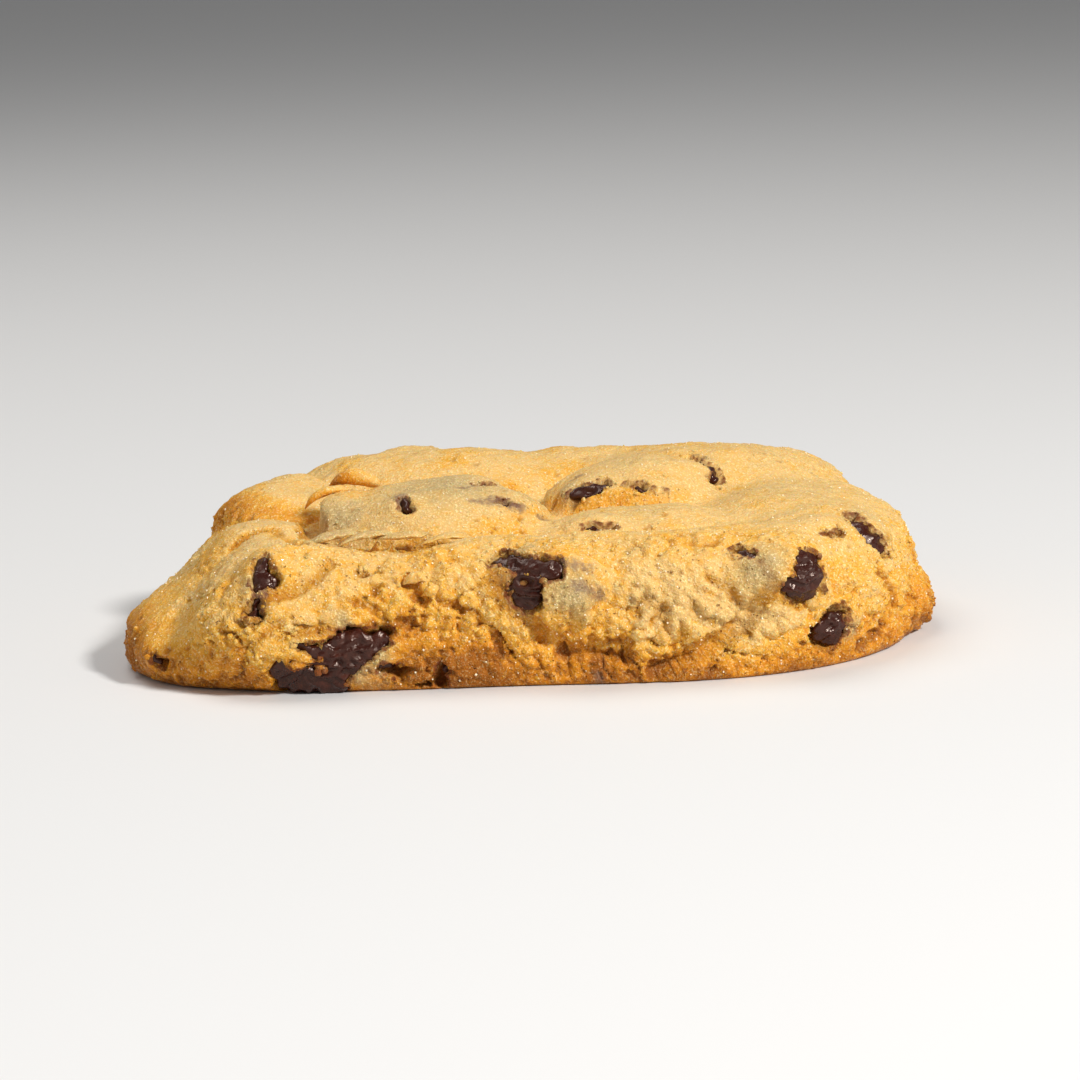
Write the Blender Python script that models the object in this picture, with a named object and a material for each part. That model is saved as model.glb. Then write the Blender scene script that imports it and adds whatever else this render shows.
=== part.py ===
"""A thick chocolate chip cookie, baked as one mound of dough with chunks and chips of chocolate in it.

Metres, +Z up, -Y to the front. The origin is on the flat underside, below the middle of the cookie.
The dough is a flat-bottomed slab with a rolled front rim and soft mounds on it, split by cracks.
Each chunk of chocolate sits in a socket of its own shape, cut a hair wider than the chunk.
"""

import math

import bmesh
import bpy
import numpy as np
from mathutils import Euler, Vector, noise

MM = 0.001  # every size below is in millimetres

# Driving sizes of the cookie
BOX_MIDDLE = (-0.3, 0.9)  # of the form drawn below; the finished cookie is moved so that this is the origin
SLAB_HEIGHT = 13.6  # the dough between the mounds
SLAB_SUNK = 7.0  # how far the slab's rolled edge goes on below the cut underside
EDGE_ROUNDING = 7.4  # radius of the slab's rolled edge
FOOT_ROUNDING = 1.0  # where the side meets the underside
SOCKET_GAP = 0.35  # between a chunk and the dough round it

# The slab seen from above: its mean radius and the waves round it, (count, share, phase in degrees)
SLAB_RADIUS = 43.8
OUTLINE_WAVES = ((1, 0.018, 24.0), (2, 0.050, -9.0), (3, 0.052, 86.0), (4, 0.035, -160.0))

# The left side runs out in a slope: a point on it, its rise from level, and how softly it meets the slab's top
LEFT_SLOPE = (-38.6, 12.6)
LEFT_SLOPE_TILT = math.radians(47)
LEFT_SLOPE_SOFTNESS = 4.0

# The rolled rim along the front edge: an arc of round section, from left to right
RIM_INSET = 7.6  # of the roll's middle line from the slab's edge
RIM_RADIUS = 7.8
RIM_LEVEL = 8.2
RIM_FROM, RIM_TO = math.radians(-140), math.radians(-30)

# Mounds of dough: (middle, half sizes, turn about Z in degrees, how softly it runs into the rest)
MOUNDS = {
    "centre dome": ((-11.0, -13.8, 11.2), (15.4, 14.5, 8.8), -4, 0.8),
    "right mound": ((13.2, 1.0, 11.0), (12.6, 10.5, 8.8), 8, 0.8),
    "right shoulder": ((30.3, -8.0, 8.2), (14.4, 25.0, 8.6), -8, 3.0),
    "fold before the mound": ((13.4, -18.5, 9.6), (20.0, 10.0, 7.2), 10, 1.2),
    "left roll": ((-30.2, -18.6, 10.3), (8.8, 9.0, 6.4), 20, 1.2),
    "left rear lobe": ((-30.1, 4.0, 12.1), (8.2, 11.0, 5.5), 12, 0.8),
    "left rear band": ((-12.0, 18.0, 11.4), (20.3, 13.0, 7.7), -10, 1.2),
    "rear middle": ((6.4, 20.0, 10.6), (13.0, 11.0, 7.6), 0, 1.6),
    "rear right": ((21.5, 14.0, 10.5), (19.5, 16.0, 8.9), 10, 1.4),
    "left spread": ((-36.2, -18.4, 2.8), (11.8, 17.0, 7.0), 8, 3.0),
    "right spread": ((38.0, -8.5, 3.4), (9.7, 14.0, 6.0), -2, 1.2),
    "front left corner": ((-26.8, -31.6, 6.7), (12.0, 8.6, 7.6), 20, 3.0),
    "pillow": ((-28.4, -32.4, 11.6), (4.4, 6.0, 4.6), 0, 1.0),
    "bump over the front chunk": ((3.4, -34.9, 10.6), (6.6, 5.6, 5.2), 0, 1.5),
    "bump at the right front": ((27.5, -32.5, 11.1), (6.0, 5.6, 4.8), 0, 1.5),
}

# Cracks and hollows in the crust: the radius of the tool that cuts them and its way along the surface
CRACKS = {
    "front crack": (1.3, ((-1.8, -39.6, 9.0), (1.5, -39.8, 5.6), (3.8, -39.6, 4.1), (10.5, -39.4, 4.0))),
    "slanting crack": (1.2, ((27.3, -38.4, 10.3), (23.3, -38.5, 5.9), (18.9, -38.9, 3.6), (13.8, -39.1, 1.7))),
    "notch in the wall": (1.0, ((14.5, -39.5, 8.5), (14.8, -39.6, 6.6))),
    "hollow by the front chunk": (2.4, ((-3.5, -39.3, 13.0), (-2.0, -40.4, 10.7))),
    "gap below the dome": (1.5, ((-24.4, -27.8, 15.1), (-16.9, -28.0, 14.6), (-6.9, -28.9, 14.4))),
    "gap left of the dome": (1.6, ((-25.3, -22.4, 15.2), (-25.7, -13.5, 15.7), (-22.4, -4.0, 15.8))),
    "rear crack": (1.3, ((-24.1, 33.6, 8.9), (-15.2, 38.4, 7.2), (-6.1, 41.0, 8.6))),
    "rear right crack": (1.2, ((21.9, 35.0, 8.3), (29.8, 32.6, 5.0), (36.8, 26.0, 5.1))),
}

# The crust's own unevenness: (size of the lumps, how far they stand out)
LUMPS = ((8.0, 0.45), (4.4, 0.32))

# Chunks and chips of chocolate: (middle, half sizes, turn about X, Y, Z in degrees)
CHUNKS = {
    "chunk_front_low": ((-21.5, -35.6, 4.3), (9.2, 4.2, 3.8), (0, -3, 5)),
    "chip_front_low": ((-8.8, -36.6, 2.9), (2.2, 2.4, 1.6), (0, 10, 0)),
    "chunk_front_streak": ((-30.9, -35.4, 10.9), (2.3, 3.2, 5.2), (-22, 14, 0)),
    "chunk_front_middle": ((1.3, -36.1, 11.3), (6.0, 3.9, 3.9), (0, 0, -4)),
    "chunk_right_front": ((27.6, -34.9, 11.8), (5.4, 3.5, 3.1), (0, 4, 14)),
    "chunk_right_low": ((33.4, -30.9, 4.9), (3.5, 3.2, 2.5), (0, 0, 34)),
    "chunk_right_shoulder": ((38.2, -20.5, 12.6), (3.0, 4.2, 2.7), (0, 20, 30)),
    "chip_right_shoulder": ((33.9, -27.0, 14.8), (2.3, 1.6, 1.1), (14, 0, 24)),
    "chunk_mound_front": ((7.1, -3.9, 15.8), (3.2, 2.4, 1.9), (0, 0, 0)),
    "chip_mound_front": ((14.2, -6.3, 16.2), (3.0, 1.5, 1.2), (0, 0, -4)),
    "chunk_mound_right": ((21.6, 3.6, 16.3), (2.2, 4.6, 2.0), (0, 10, -8)),
    "chip_fold": ((7.3, -23.2, 15.3), (2.6, 1.7, 1.0), (10, 0, 4)),
    "chunk_dome_left": ((-14.1, -19.7, 17.0), (2.5, 2.5, 2.3), (20, 0, 0)),
    "chunk_dome_right": ((-2.7, -17.3, 16.7), (3.3, 2.6, 2.1), (12, 4, 0)),
    "chip_dome_top": ((-7.0, -12.8, 19.3), (2.3, 1.5, 0.9), (0, 0, -6)),
    "chip_left_tip": ((-43.0, -29.7, 3.4), (1.8, 1.7, 1.5), (0, 0, 0)),
    "chunk_rear_top": ((-15.3, 26.0, 15.8), (3.8, 3.0, 2.2), (-26, -6, 10)),
    "chunk_rear_right_top": ((24.6, 26.1, 14.4), (3.2, 4.0, 2.2), (-26, 4, -30)),
    "chip_rear_middle_top": ((4.5, 28.0, 14.3), (2.4, 2.0, 1.5), (-30, 0, 0)),
    "chunk_right_rear": ((39.7, 14.3, 7.2), (3.0, 4.2, 3.0), (0, 20, 20)),
    "chunk_rear_right": ((32.5, 25.3, 7.1), (4.4, 3.4, 3.2), (0, 0, -38)),
    "chunk_rear": ((2.5, 39.4, 6.5), (5.6, 3.4, 3.4), (0, 6, 0)),
    "chip_rear_low": ((-11.0, 39.7, 4.6), (2.2, 2.2, 1.9), (0, 0, 20)),
    "chunk_rear_left": ((-15.6, 35.9, 10.4), (3.4, 3.2, 2.6), (-30, 0, 14)),
    "chunk_left_rear": ((-29.6, 26.3, 7.4), (3.6, 3.6, 3.0), (0, 0, 42)),
    "chip_left": ((-36.7, 11.2, 9.9), (2.3, 3.0, 2.0), (0, -30, 12)),
}
BIG_CHUNKS = ("chunk_front_low", "chunk_front_streak", "chunk_front_middle", "chunk_right_front")

# Cells of the base block along X, Y and Z
CELLS = (40, 36, 9)


def turned(points, degrees):
    """The points turned about Z, in the frame of a piece that is itself turned by that angle."""
    angle = math.radians(degrees)
    x, y = points[:, 0], points[:, 1]
    return np.stack(
        (x * math.cos(angle) + y * math.sin(angle), y * math.cos(angle) - x * math.sin(angle), points[:, 2]), 1
    )


def ellipsoid_distance(points, half_sizes):
    """About how far each point is outside an ellipsoid round the origin."""
    scaled = points / half_sizes
    near = np.linalg.norm(scaled, axis=1)
    steep = np.maximum(np.linalg.norm(scaled / half_sizes, axis=1), 1e-9)
    return near * (near - 1) / steep


def joined(a, b, softness):
    """The distance to two shapes run together, with a fillet about as wide as softness."""
    overlap = np.maximum(softness - np.abs(a - b), 0) / softness
    return np.minimum(a, b) - overlap * overlap * softness / 4


def way_distance(points, way):
    """Distance from each point to a way of straight steps."""
    nearest = np.full(len(points), np.inf)
    for start, end in zip(way, way[1:]):
        start, step = np.array(start), np.subtract(end, start)
        share = np.clip((points - start) @ step / (step @ step), 0, 1)
        nearest = np.minimum(nearest, np.linalg.norm(points - start - share[:, None] * step, axis=1))
    return nearest


def outline_radius(angle):
    """Distance from the middle to the slab's edge, seen from above."""
    waves = sum(share * np.cos(count * angle + math.radians(phase)) for count, share, phase in OUTLINE_WAVES)
    return SLAB_RADIUS * (1 + waves)


def ring(angle, radius, level):
    """The points at those angles and distances from the middle, at one level."""
    return np.stack((radius * np.cos(angle), radius * np.sin(angle), np.full(len(angle), level)), 1)


def slab_distance(points):
    x, y, z = points.T
    over = np.hypot(x, y) - outline_radius(np.arctan2(y, x)) + EDGE_ROUNDING
    half_height = (SLAB_HEIGHT + SLAB_SUNK) / 2
    up = np.abs(z - SLAB_HEIGHT + half_height) - half_height + EDGE_ROUNDING
    outside = np.hypot(np.maximum(over, 0), np.maximum(up, 0))
    return outside + np.minimum(np.maximum(over, up), 0) - EDGE_ROUNDING


def rim_distance(points):
    angle = np.clip(np.arctan2(points[:, 1], points[:, 0]), RIM_FROM, RIM_TO)
    away = points - ring(angle, outline_radius(angle) - RIM_INSET, RIM_LEVEL)
    return np.linalg.norm(away, axis=1) - RIM_RADIUS


def dough_distance(points):
    """About how far each point is outside the dough."""
    found = joined(slab_distance(points), rim_distance(points), 2.0)
    slope = (points[:, 2] - LEFT_SLOPE[1]) * math.cos(LEFT_SLOPE_TILT)
    slope -= (points[:, 0] - LEFT_SLOPE[0]) * math.sin(LEFT_SLOPE_TILT)
    found = -joined(-found, -slope, LEFT_SLOPE_SOFTNESS)
    for middle, half_sizes, turn, softness in MOUNDS.values():
        mound = ellipsoid_distance(turned(points - np.array(middle), turn), np.array(half_sizes))
        found = joined(found, mound, softness)
    for radius, way in CRACKS.values():
        found = -joined(-found, way_distance(points, way) - radius, 0.6)
    return -joined(-found, points[:, 2], FOOT_ROUNDING)


def outward_normals(points):
    """The direction in which the dough's distance grows fastest at each point."""
    steps = np.eye(3) * 0.05
    slope = np.stack([dough_distance(points + step) - dough_distance(points - step) for step in steps], 1)
    return slope / np.maximum(np.linalg.norm(slope, axis=1), 1e-9)[:, None]


def lumpy(points):
    """The points moved out or in by the crust's lumps, fading out towards the flat underside."""
    height = np.zeros(len(points))
    for size, stand_out in LUMPS:
        height += [stand_out * noise.noise(Vector(point) / size + Vector((7, 3, size))) for point in points]
    fade = np.clip(points[:, 2] / 2.5, 0, 1)
    return points + outward_normals(points) * (height * fade)[:, None]


def base_rays(corners):
    """(start, direction) of the ray through each corner of the base block, from outside the dough inwards.

    The block's top becomes a disc over the slab, its sides the rolled edge, and its bottom the underside.
    """
    u, v, w = corners.T
    x, y = u * np.sqrt(1 - v * v / 2), v * np.sqrt(1 - u * u / 2)
    share, angle = np.hypot(x, y), np.arctan2(y, x)
    top_share = 0.2  # of the half turn round the edge that belongs to the block's top, and to its bottom
    flat = outline_radius(angle) - EDGE_ROUNDING
    roll = math.pi * EDGE_ROUNDING
    along = share * (flat + top_share * roll)
    side = np.abs(w) < 1 - 1e-6
    tilt = np.maximum(along - flat, 0) / EDGE_ROUNDING
    tilt = np.where(w < 0, math.pi - tilt, tilt)
    tilt = np.where(side, math.pi * (top_share + (1 - 2 * top_share) * (1 - w) / 2), tilt)
    reach = np.where(side, flat, np.minimum(along, flat))
    outward = np.stack((np.cos(angle) * np.sin(tilt), np.sin(angle) * np.sin(tilt), np.cos(tilt)), 1)
    return ring(angle, reach, SLAB_HEIGHT / 2) + outward * (EDGE_ROUNDING + 14), -outward


def settled(start, direction):
    """Where each ray first meets the dough."""
    travelled = np.zeros(len(start))
    for _ in range(60):
        points = start + direction * travelled[:, None]
        travelled += np.clip(dough_distance(points), -1, 3) * 0.8
    points = start + direction * travelled[:, None]
    points[points[:, 2] < 0.02, 2] = 0
    return points


def new_object(name, mesh_data, material, collection):
    made = bpy.data.objects.new(name, mesh_data)
    mesh_data.materials.append(material)
    collection.objects.link(made)
    return made


def plain_material(name, colour, roughness):
    material = bpy.data.materials.new(name)
    material.use_nodes = True
    shader = material.node_tree.nodes["Principled BSDF"]
    shader.inputs["Base Color"].default_value = (*colour, 1)
    shader.inputs["Roughness"].default_value = roughness
    return material


def centred(point):
    """A point of the drawn form in the finished part's own frame and unit."""
    return Vector((point[0] - BOX_MIDDLE[0], point[1] - BOX_MIDDLE[1], point[2])) * MM


def make_dough(collection, material, cutters):
    block = bmesh.new()
    bmesh.ops.create_cube(block, size=2)
    for axis, cells in enumerate(CELLS):
        along = [e for e in block.edges if abs(e.verts[0].co[axis] - e.verts[1].co[axis]) > 1.9]
        bmesh.ops.subdivide_edges(block, edges=along, cuts=cells - 1, use_grid_fill=True)
    corners = np.array([v.co for v in block.verts], float)
    for vertex, place in zip(block.verts, lumpy(settled(*base_rays(corners)))):
        vertex.co = centred(place)
    flat = {f for f in block.faces if all(v.co.z < 1e-7 for v in f.verts)}
    edges = [e for e in block.edges if all(f in flat for f in e.link_faces)]
    verts = [v for v in block.verts if all(f in flat for f in v.link_faces)]
    bmesh.ops.dissolve_limit(block, angle_limit=0.001, verts=verts, edges=edges)
    bmesh.ops.triangulate(block, faces=block.faces[:])
    bmesh.ops.recalc_face_normals(block, faces=block.faces[:])
    mesh_data = bpy.data.meshes.new("dough")
    block.to_mesh(mesh_data)
    block.free()
    mesh_data.shade_smooth()
    made = new_object("dough", mesh_data, material, collection)
    sockets = made.modifiers.new("sockets for the chunks", "BOOLEAN")
    sockets.operation = "DIFFERENCE"
    sockets.solver = "EXACT"
    sockets.operand_type = "COLLECTION"
    sockets.collection = cutters
    return made


def chunk_mesh(name, half_sizes, grown):
    """A rough lump of chocolate of those half sizes, or its socket's cutter when grown by the gap."""
    lump = bmesh.new()
    bmesh.ops.create_icosphere(lump, subdivisions=3 if name in BIG_CHUNKS else 2, radius=1)
    for vertex in lump.verts:
        rough = 1 + 0.14 * noise.noise(vertex.co * 1.7 + Vector((len(name), half_sizes[0], 0)))
        vertex.co = Vector([c * (h * rough + grown) for c, h in zip(vertex.co, half_sizes)]) * MM
    mesh_data = bpy.data.meshes.new(name)
    lump.to_mesh(mesh_data)
    lump.free()
    return mesh_data


def place_chunk(made, middle, turn):
    made.location = centred(middle)
    made.rotation_euler = Euler([math.radians(degrees) for degrees in turn])


def main():
    for old in list(bpy.data.objects):
        bpy.data.objects.remove(old)
    cookie = bpy.data.collections.new("cookie")
    cutters = bpy.data.collections.new("cutters")
    for collection in (cookie, cutters):
        bpy.context.scene.collection.children.link(collection)
    dough = plain_material("dough", (0.78, 0.50, 0.20), 0.6)
    chocolate = plain_material("chocolate", (0.045, 0.014, 0.009), 0.3)
    for name, (middle, half_sizes, turn) in CHUNKS.items():
        place_chunk(new_object(name, chunk_mesh(name, half_sizes, 0), chocolate, cookie), middle, turn)
        cutter = new_object("socket_" + name, chunk_mesh(name, half_sizes, SOCKET_GAP), chocolate, cutters)
        place_chunk(cutter, middle, turn)
        cutter.hide_render = True
        cutter.display_type = "WIRE"
    make_dough(cookie, dough, cutters)


main()
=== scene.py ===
"""A thick chocolate chip cookie: crust, crumb, melted chocolate and sugar, dressed around its solids."""

import math

import bpy
import numpy as np
from mathutils import Euler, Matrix, Quaternion, Vector, noise


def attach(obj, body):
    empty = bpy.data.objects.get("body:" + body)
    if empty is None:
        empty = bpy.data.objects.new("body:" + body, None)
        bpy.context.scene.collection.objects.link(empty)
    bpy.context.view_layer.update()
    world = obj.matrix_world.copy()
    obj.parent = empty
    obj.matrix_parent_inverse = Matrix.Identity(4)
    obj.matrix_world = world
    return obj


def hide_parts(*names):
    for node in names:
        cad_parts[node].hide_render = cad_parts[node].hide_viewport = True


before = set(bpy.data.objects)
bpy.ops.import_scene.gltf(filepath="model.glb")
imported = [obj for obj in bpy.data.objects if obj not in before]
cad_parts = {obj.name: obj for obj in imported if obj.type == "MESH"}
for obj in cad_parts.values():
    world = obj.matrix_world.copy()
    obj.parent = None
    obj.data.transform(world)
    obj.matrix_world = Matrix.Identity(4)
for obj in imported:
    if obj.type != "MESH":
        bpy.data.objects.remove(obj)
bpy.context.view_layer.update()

# The camera looks at the cookie's craggy front from ten degrees above, half a metre away, through a long
# lens. It leans two degrees, as the one that took the photograph did.
ELEVATION = math.radians(10)
DISTANCE = 0.5
LEAN = Quaternion((0, 0, 1), math.radians(-2))

aim = Vector((0.0014, -0.0069, 0.0111))
backwards = Vector((0, -math.cos(ELEVATION), math.sin(ELEVATION)))
camera = bpy.data.objects.new("camera", bpy.data.cameras.new("camera"))
bpy.context.scene.collection.objects.link(camera)
camera.location = aim + backwards * DISTANCE
camera.rotation_mode = "QUATERNION"
camera.rotation_quaternion = (-backwards).to_track_quat("-Z", "Y") @ LEAN
camera.data.lens = 138.9
camera.data.clip_start = 0.01
bpy.context.scene.camera = camera

# The dough: one mound of soft wheat dough, baked on its flat underside. A slab with a rolled front rim
# carries soft mounds, and a thin film of dough lies over most of each piece of chocolate. The crust is
# found by rays that run inwards from all around and stop where they first meet that form.
MM = 0.001  # every size of the form is in millimetres
BOX_MIDDLE = (-0.3, 0.9)
SLAB_HEIGHT = 13.6  # the dough between the mounds
SLAB_SUNK = 7.0  # how far the slab's rolled edge goes on below the cut underside
EDGE_ROUNDING = 7.4  # radius of the slab's rolled edge
FOOT_ROUNDING = 1.0  # where the side meets the underside
# The slab seen from above: its mean radius and the waves round it, (count, share, phase in degrees)
SLAB_RADIUS = 43.8
OUTLINE_WAVES = ((1, 0.018, 24.0), (2, 0.050, -9.0), (3, 0.052, 86.0), (4, 0.035, -160.0))

# The left side runs out in a slope: a point on it, its rise, and how softly it meets the slab's top
LEFT_SLOPE = (-38.6, 12.6)
LEFT_SLOPE_TILT = math.radians(47)
LEFT_SLOPE_SOFTNESS = 4.0

# The rolled rim along the front edge: an arc of round section, from left to right
RIM_INSET = 7.6  # of the roll's middle line from the slab's edge
RIM_RADIUS = 7.8
RIM_LEVEL = 8.2
RIM_FROM, RIM_TO = math.radians(-140), math.radians(-30)

# Mounds of dough: (middle, half sizes, turn about Z in degrees, how softly it runs into the rest)
MOUNDS = {
    "centre dome": ((-11.0, -13.8, 11.2), (15.4, 14.5, 8.8), -4, 0.8),
    "right mound": ((13.2, 1.0, 11.0), (12.6, 10.5, 8.8), 8, 0.8),
    "right shoulder": ((30.3, -8.0, 8.2), (14.4, 25.0, 8.6), -8, 3.0),
    "fold before the mound": ((13.4, -18.5, 9.6), (20.0, 10.0, 7.2), 10, 1.2),
    "left roll": ((-30.2, -18.6, 10.3), (8.8, 9.0, 6.4), 20, 1.2),
    "left rear lobe": ((-30.1, 4.0, 12.1), (8.2, 11.0, 5.5), 12, 0.8),
    "left rear band": ((-12.0, 18.0, 11.4), (20.3, 13.0, 7.7), -10, 1.2),
    "rear middle": ((6.4, 20.0, 10.6), (13.0, 11.0, 7.6), 0, 1.6),
    "rear right": ((21.5, 14.0, 10.5), (19.5, 16.0, 8.9), 10, 1.4),
    "left spread": ((-36.2, -18.4, 2.8), (11.8, 17.0, 7.0), 8, 3.0),
    "right spread": ((38.0, -8.5, 3.4), (9.7, 14.0, 6.0), -2, 1.2),
    "front left corner": ((-26.8, -31.6, 6.7), (12.0, 8.6, 7.6), 20, 3.0),
    "pillow": ((-28.4, -32.4, 11.6), (4.4, 6.0, 4.6), 0, 1.0),
    "bump over the front chunk": ((3.4, -34.9, 10.6), (6.6, 5.6, 5.2), 0, 1.5),
    "bump at the right front": ((27.5, -32.5, 11.1), (6.0, 5.6, 4.8), 0, 1.5),
    "left end of the dome": ((-21.4, -12.0, 14.3), (5.0, 8.0, 4.4), -8, 0.9),
}

# Cracks and hollows in the crust: the radius of the tool that cuts them and its way along the surface
CRACKS = {
    "front crack": (1.3, ((-1.8, -39.6, 9.0), (1.5, -39.8, 5.6), (3.8, -39.6, 4.1), (10.5, -39.4, 4.0))),
    "slanting crack": (
        1.2,
        ((27.3, -38.4, 10.3), (23.3, -38.5, 5.9), (18.9, -38.9, 3.6), (13.8, -39.1, 1.7)),
    ),
    "notch in the wall": (1.0, ((14.5, -39.5, 8.5), (14.8, -39.6, 6.6))),
    "hollow by the front chunk": (2.4, ((-3.5, -39.3, 13.0), (-2.0, -40.4, 10.7))),
    "gap below the dome": (1.5, ((-24.4, -27.8, 15.1), (-16.9, -28.0, 14.6), (-6.9, -28.9, 14.4))),
    "gap left of the dome": (1.6, ((-25.3, -22.4, 15.2), (-25.7, -13.5, 15.7), (-22.4, -4.0, 15.8))),
    "rear crack": (1.3, ((-24.1, 33.6, 8.9), (-15.2, 38.4, 7.2), (-6.1, 41.0, 8.6))),
    "rear right crack": (1.2, ((21.9, 35.0, 8.3), (29.8, 32.6, 5.0), (36.8, 26.0, 5.1))),
}
# Finer creases between the folds of the crust, in the same terms
CREASES = (
    (0.75, ((-34.6, -24.1, 14.4), (-32.5, -22.4, 15.8), (-29.4, -22.5, 16.1), (-26.2, -30.7, 16.0))),
    (0.75, ((-2.1, -39.5, 9.5), (-0.2, -38.7, 7.6), (1.4, -38.4, 5.4))),
    (0.62, ((1.4, -38.4, 5.4), (3.1, -38.3, 4.0), (7.5, -38.2, 3.8), (10.2, -38.5, 3.1))),
    (0.56, ((26.9, -38.6, 10.0), (23.5, -37.3, 6.5), (18.7, -37.7, 3.6), (13.5, -38.0, 1.4))),
    (0.69, ((-13.9, -37.1, 12.6), (-13.2, -37.9, 11.3), (-12.2, -38.2, 10.3))),
    (0.75, ((-15.0, -38.7, 8.1), (-13.7, -38.7, 7.7))),
    (0.62, ((11.6, -39.4, 8.3), (12.4, -39.2, 9.7), (13.4, -39.1, 9.9))),
    (0.56, ((23.5, -37.3, 6.1), (24.9, -37.3, 7.5))),
    (0.50, ((15.9, -39.0, 4.0), (16.6, -39.3, 6.1))),
    (0.50, ((10.4, -38.9, 1.4), (11.4, -38.9, 1.0))),
    (0.56, ((6.5, -38.8, 5.3), (7.8, -38.2, 4.1))),
    (0.50, ((13.6, -39.3, 6.9), (14.7, -38.5, 8.4))),
    (0.69, ((-30.3, -39.4, 11.2), (-27.0, -38.4, 11.9), (-24.3, -36.9, 12.9), (-22.7, -34.9, 14.6))),
    (0.56, ((-28.1, -40.6, 6.9), (-25.1, -40.0, 7.7), (-21.1, -39.5, 7.1), (-18.0, -38.7, 7.9))),
    (0.50, ((-33.3, -39.9, 5.6), (-30.5, -40.6, 7.0), (-28.7, -40.3, 8.9))),
    (0.50, ((-10.2, -38.3, 10.3), (-6.9, -38.6, 8.8), (-4.6, -38.7, 6.7), (-3.7, -38.3, 3.9))),
    (0.50, ((-20.3, -38.1, 10.6), (-17.0, -38.4, 9.2), (-15.7, -38.8, 6.8))),
    (0.62, ((25.6, -38.5, 13.5), (26.9, -39.1, 11.9), (28.6, -37.6, 8.8), (30.4, -36.2, 7.7))),
    (0.62, ((37.2, -29.9, 1.7), (39.9, -26.6, 2.7), (41.5, -24.9, 5.9))),
    (0.56, ((40.0, -26.9, 9.8), (41.5, -25.2, 7.7), (41.9, -23.8, 5.0))),
    (0.50, ((19.6, -37.9, 11.9), (22.2, -38.2, 10.2), (23.8, -37.8, 7.9))),
    (0.50, ((17.7, -39.1, 9.4), (18.7, -39.2, 7.7), (21.0, -38.8, 6.5))),
)

# Pieces of chocolate in the dough: (middle, half sizes, turn about X, Y, Z in degrees)
CHUNKS = {
    "chunk_front_low": ((-21.5, -35.6, 4.3), (9.2, 4.2, 3.8), (0, -3, 5)),
    "chip_front_low": ((-8.8, -36.6, 2.9), (2.2, 2.4, 1.6), (0, 10, 0)),
    "chunk_front_streak": ((-30.9, -35.4, 10.9), (2.3, 3.2, 5.2), (-22, 14, 0)),
    "chunk_front_middle": ((1.3, -36.1, 11.3), (6.0, 3.9, 3.9), (0, 0, -4)),
    "chunk_right_front": ((27.6, -34.9, 11.8), (5.4, 3.5, 3.1), (0, 4, 14)),
    "chunk_right_low": ((33.4, -30.9, 4.9), (3.5, 3.2, 2.5), (0, 0, 34)),
    "chunk_right_shoulder": ((38.2, -20.5, 12.6), (3.0, 4.2, 2.7), (0, 20, 30)),
    "chip_right_shoulder": ((33.9, -27.0, 14.8), (2.3, 1.6, 1.1), (14, 0, 24)),
    "chunk_mound_front": ((7.1, -3.9, 15.8), (3.2, 2.4, 1.9), (0, 0, 0)),
    "chip_mound_front": ((14.2, -6.3, 16.2), (3.0, 1.5, 1.2), (0, 0, -4)),
    "chunk_mound_right": ((21.6, 3.6, 16.3), (2.2, 4.6, 2.0), (0, 10, -8)),
    "chip_fold": ((7.3, -23.2, 15.3), (2.6, 1.7, 1.0), (10, 0, 4)),
    "chunk_dome_left": ((-14.1, -19.7, 17.0), (2.5, 2.5, 2.3), (20, 0, 0)),
    "chunk_dome_right": ((-2.7, -17.3, 16.7), (3.3, 2.6, 2.1), (12, 4, 0)),
    "chip_dome_top": ((-7.0, -12.8, 19.3), (2.3, 1.5, 0.9), (0, 0, -6)),
    "chip_left_tip": ((-43.0, -29.7, 3.4), (1.8, 1.7, 1.5), (0, 0, 0)),
    "chunk_rear_top": ((-15.3, 26.0, 15.8), (3.8, 3.0, 2.2), (-26, -6, 10)),
    "chunk_rear_right_top": ((24.6, 26.1, 14.4), (3.2, 4.0, 2.2), (-26, 4, -30)),
    "chip_rear_middle_top": ((4.5, 28.0, 14.3), (2.4, 2.0, 1.5), (-30, 0, 0)),
    "chunk_right_rear": ((39.7, 14.3, 7.2), (3.0, 4.2, 3.0), (0, 20, 20)),
    "chunk_rear_right": ((32.5, 25.3, 7.1), (4.4, 3.4, 3.2), (0, 0, -38)),
    "chunk_rear": ((2.5, 39.4, 6.5), (5.6, 3.4, 3.4), (0, 6, 0)),
    "chip_rear_low": ((-11.0, 39.7, 4.6), (2.2, 2.2, 1.9), (0, 0, 20)),
    "chunk_rear_left": ((-15.6, 35.9, 10.4), (3.4, 3.2, 2.6), (-30, 0, 14)),
    "chunk_left_rear": ((-29.6, 26.3, 7.4), (3.6, 3.6, 3.0), (0, 0, 42)),
    "chip_left": ((-36.7, 11.2, 9.9), (2.3, 3.0, 2.0), (0, -30, 12)),
}
FILM = -0.4  # level of the dough over a chunk, seen from the chunk's own surface
REACH = 6.0  # distances to a chunk or a tear are worked out up to here


def turned(points, degrees):
    """The points seen from a form that is turned about Z."""
    angle = math.radians(degrees)
    x, y, z = points.T
    along = x * math.cos(angle) + y * math.sin(angle)
    across = y * math.cos(angle) - x * math.sin(angle)
    return np.stack((along, across, z), 1)


def ellipsoid_distance(points, half_sizes):
    scaled = points / half_sizes
    near = np.linalg.norm(scaled, axis=1)
    steep = np.maximum(np.linalg.norm(scaled / half_sizes, axis=1), 1e-9)
    return near * (near - 1) / steep


def joined(a, b, softness):
    """The distance to two shapes run together, with a fillet about as wide as softness."""
    overlap = np.maximum(softness - np.abs(a - b), 0) / softness
    return np.minimum(a, b) - overlap * overlap * softness / 4


def spot_distance(points, spot):
    return np.linalg.norm(points - np.array(spot), axis=1)


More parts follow.
